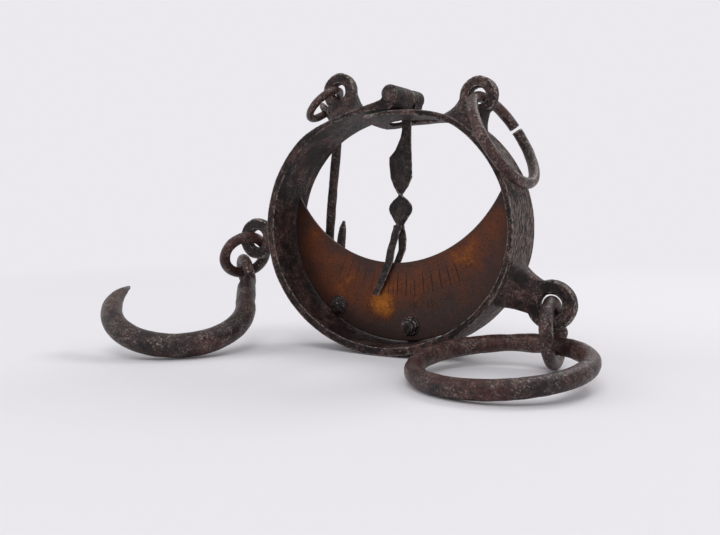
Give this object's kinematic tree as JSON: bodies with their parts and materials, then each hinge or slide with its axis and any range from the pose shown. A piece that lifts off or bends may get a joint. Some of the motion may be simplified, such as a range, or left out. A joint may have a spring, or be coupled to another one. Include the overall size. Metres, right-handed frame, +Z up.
{
  "type": "weighing scale",
  "caption": "Antique round spring balance: a flat forged hoop with a crescent dial and forked pointer, with links, hooks and rings for heavy and light loads.",
  "frame": {"origin": "where the hoop stands on the ground, below its middle and halfway between its two rims", "axes": "+X runs to the right along the dial, from the heavy hook's lug to the big ring's lug, +Y to the back of the dial, +Z up"},
  "size_m": [0.2325, 0.1105, 0.1322],
  "materials": {
    "spring_iron": "dark brown patina over hammered iron",
    "forged_iron": "dark brown patina, pitted",
    "worn_iron": "patina worn grey by handling",
    "dial_brass": "tarnished, warm brown"
  },
  "bodies": {
    "frame": {"hoop_left_arm": "spring_iron", "heavy_lug_left": "forged_iron", "light_lug_left": "forged_iron", "pivot_pin": "forged_iron", "dial_plate": "dial_brass", "dial_stud_left": "forged_iron", "dial_stud_right": "forged_iron", "dial_bracket_left": "forged_iron", "dial_bracket_right": "forged_iron", "bracket_rivet_left": "forged_iron", "bracket_rivet_right": "forged_iron"},
    "right_arm": {"hoop_right_arm": "spring_iron", "heavy_lug_right": "forged_iron", "light_lug_right": "forged_iron"},
    "pointer": {"pointer": "forged_iron"},
    "heavy_hook_link": {"heavy_hook_link": "worn_iron"},
    "heavy_hook": {"heavy_hook": "forged_iron"},
    "heavy_ring_link": {"heavy_ring_link": "worn_iron"},
    "heavy_ring": {"heavy_ring": "worn_iron"},
    "light_hook_link": {"light_hook_link": "worn_iron"},
    "light_hook": {"light_hook": "forged_iron"},
    "light_ring": {"light_ring": "worn_iron"}
  },
  "joints": [
    {"name": "spring_flex", "type": "hinge", "parent": "frame", "child": "right_arm", "pos_m": [0.01541, 0, 0.00172], "axis": [0, 1, 0], "range_deg": [0, 2], "stiffness_Nm_per_rad": 60, "springref_deg": -0.57},
    {"name": "pointer_swing", "type": "hinge", "parent": "frame", "child": "pointer", "pos_m": [0.0062, 0.005, 0.1178], "axis": [0, -1, 0], "range_deg": [0, 30]},
    {"name": "heavy_hook_link_swing", "type": "hinge", "parent": "frame", "child": "heavy_hook_link", "pos_m": [-0.0804, 0, 0.0525], "axis": [0, 1, 0], "range_deg": [-15, 50]},
    {"name": "heavy_hook_swing", "type": "hinge", "parent": "heavy_hook_link", "child": "heavy_hook", "pos_m": [-0.09138, 0.00267, 0.03445], "axis": [-0.573, -0.8, -0.178], "range_deg": [-70, 45]},
    {"name": "heavy_ring_link_swing", "type": "hinge", "parent": "right_arm", "child": "heavy_ring_link", "pos_m": [0.0756, 0, 0.0262], "axis": [0, 1, 0], "range_deg": [-45, 1]},
    {"name": "heavy_ring_swing", "type": "hinge", "parent": "heavy_ring_link", "child": "heavy_ring", "pos_m": [0.07841, -0.00696, 0.01073], "axis": [0.9451, -0.3268, 0.0075], "range_deg": [-3, 88]},
    {"name": "light_hook_link_swing", "type": "hinge", "parent": "frame", "child": "light_hook_link", "pos_m": [-0.0281, 0, 0.123], "axis": [0, 1, 0], "range_deg": [0, 90]},
    {"name": "light_hook_swing", "type": "hinge", "parent": "light_hook_link", "child": "light_hook", "pos_m": [-0.0389, 0.00471, 0.11518], "axis": [0.6177, 0.4828, 0.6207], "range_deg": [0, 60]},
    {"name": "light_ring_swing", "type": "hinge", "parent": "right_arm", "child": "light_ring", "pos_m": [0.043, 0, 0.1149], "axis": [0, -1, 0], "range_deg": [0, 100]}
  ],
  "couplings": [
    {"joint": "pointer_swing", "follows": "spring_flex", "ratio": 15}
  ]
}
